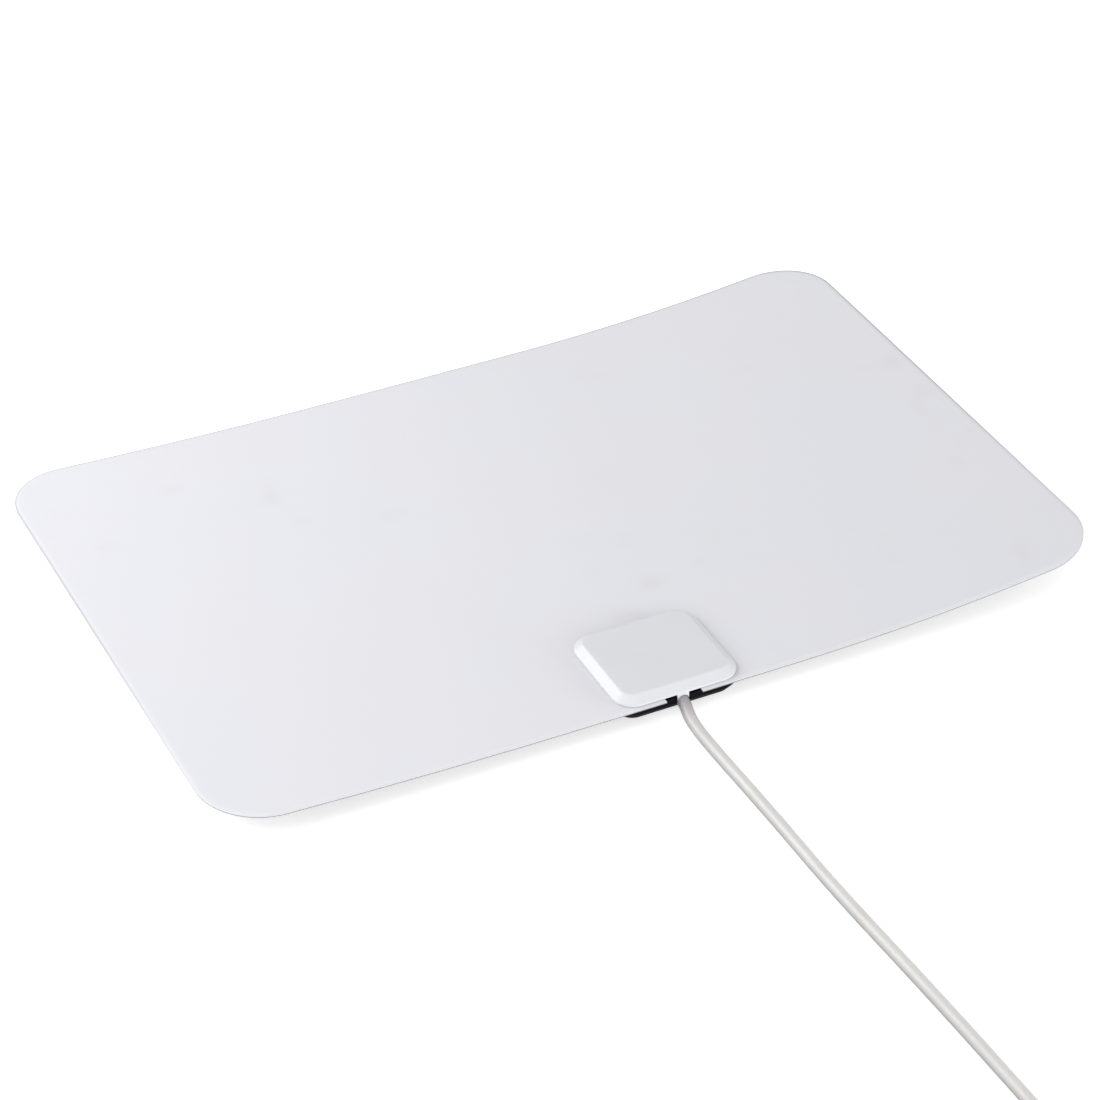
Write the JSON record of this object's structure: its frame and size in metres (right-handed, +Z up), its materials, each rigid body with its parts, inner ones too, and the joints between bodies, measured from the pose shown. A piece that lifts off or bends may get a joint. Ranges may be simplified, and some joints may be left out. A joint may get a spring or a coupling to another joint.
{
  "type": "indoor tv antenna",
  "caption": "Thin flexible flat indoor TV antenna panel with rounded corners, a low clip-on housing at the front edge and a coaxial lead with plug.",
  "frame": {"origin": "middle of the head's bounding box on the floor, measured without the lead", "axes": "+X along the panel's long side, +Y from the front edge with the cable to the rear edge, +Z up"},
  "size_m": [0.33, 0.5228, 0.0157],
  "materials": {
    "white_film": "satin white",
    "black_film": "satin black",
    "element_foil": "bright",
    "white_housing": "satin white, moulded",
    "black_housing": "satin black, moulded",
    "board_laminate": "green laminate",
    "ferrite": "matt dark grey",
    "copper": "bare and enamelled copper",
    "tin": "tinned",
    "cable_jacket": "warm white, satin",
    "cable_foam": "white",
    "tie_band": "satin white",
    "plug_shell": "warm white, moulded",
    "plug_metal": "nickel plated"
  },
  "bodies": {
    "root": {"front_film": "white_film", "rear_film": "black_film", "foil_left": "element_foil", "foil_right": "element_foil", "front_cover": "white_housing", "rear_cover": "black_housing", "balun_board": "board_laminate", "ferrite_core": "ferrite", "balun_winding": "copper", "solder_joints": "tin", "contact_rivets": "tin", "cable_braid": "tin", "cable_dielectric": "cable_foam", "cable_conductor": "copper", "coax_run": "cable_jacket", "coax_coil": "cable_jacket", "coil_tie": "tie_band", "coax_tail": "cable_jacket", "plug_body": "plug_shell", "plug_sleeve": "plug_metal", "plug_insulator": "cable_foam", "plug_pin": "plug_metal"}
  },
  "joints": []
}
